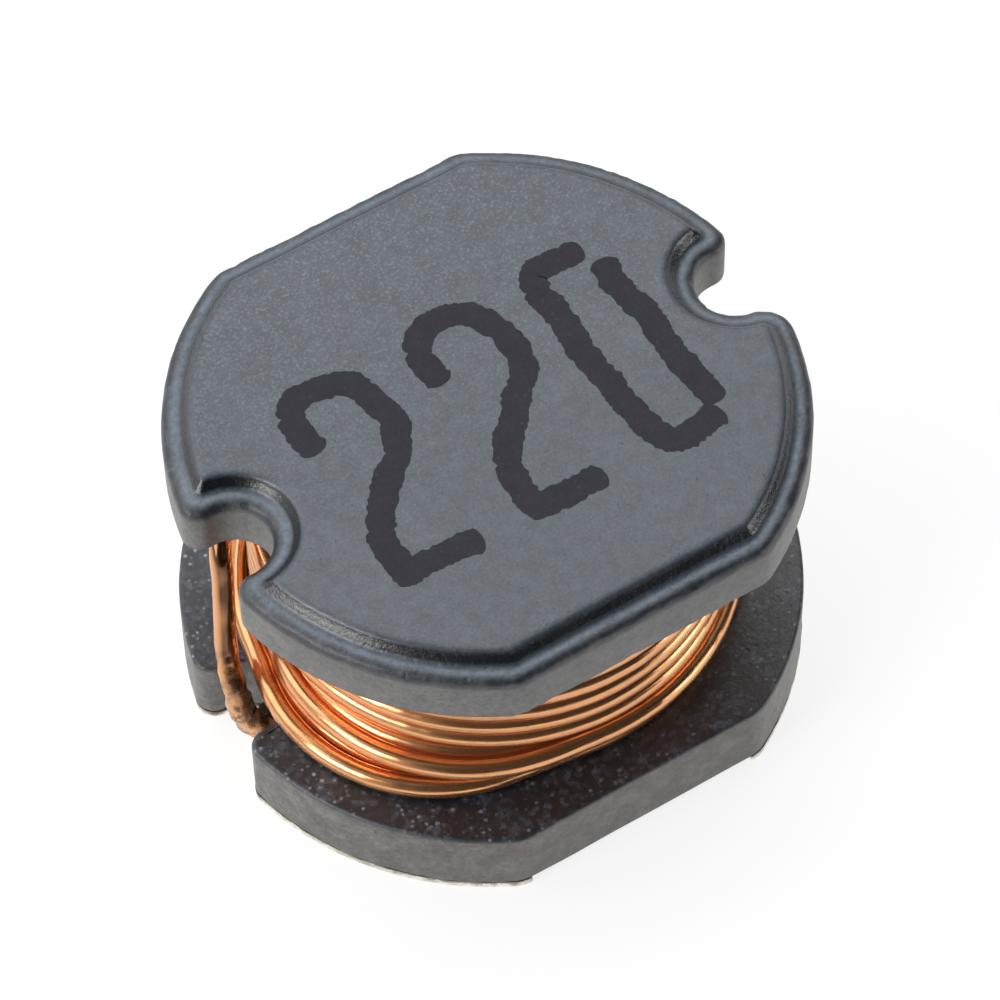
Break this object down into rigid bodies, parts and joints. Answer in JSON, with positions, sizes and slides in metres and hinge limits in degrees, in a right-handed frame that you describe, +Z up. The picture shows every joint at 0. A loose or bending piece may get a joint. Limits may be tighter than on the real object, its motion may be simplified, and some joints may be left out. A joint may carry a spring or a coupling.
{
  "type": "smd power inductor",
  "caption": "Surface-mount power inductor: enamelled copper wire wound round an open ferrite drum core, with its two ends soldered in grooves to pads underneath.",
  "frame": {"origin": "on the board, under the middle of the part: centre of the bounding box's bottom", "axes": "+Z up from the soldering pads to the top face, +X through the two wire notches, from the finish end to the start end, +Y across the flats"},
  "size_m": [0.0076, 0.007, 0.0048],
  "materials": {
    "ferrite": "matte sintered, blue-grey on the ground top, near black inside",
    "enamelled_copper": "glossy clear enamel over copper",
    "tinned_pad": "satin tin over fired silver",
    "solder": "bright solder",
    "marking_ink": "matte printed ink"
  },
  "bodies": {
    "root": {"ferrite_core": "ferrite", "copper_winding": "enamelled_copper", "terminal_start": "tinned_pad", "terminal_finish": "tinned_pad", "solder_joint_start": "solder", "solder_joint_finish": "solder"}
  },
  "joints": []
}
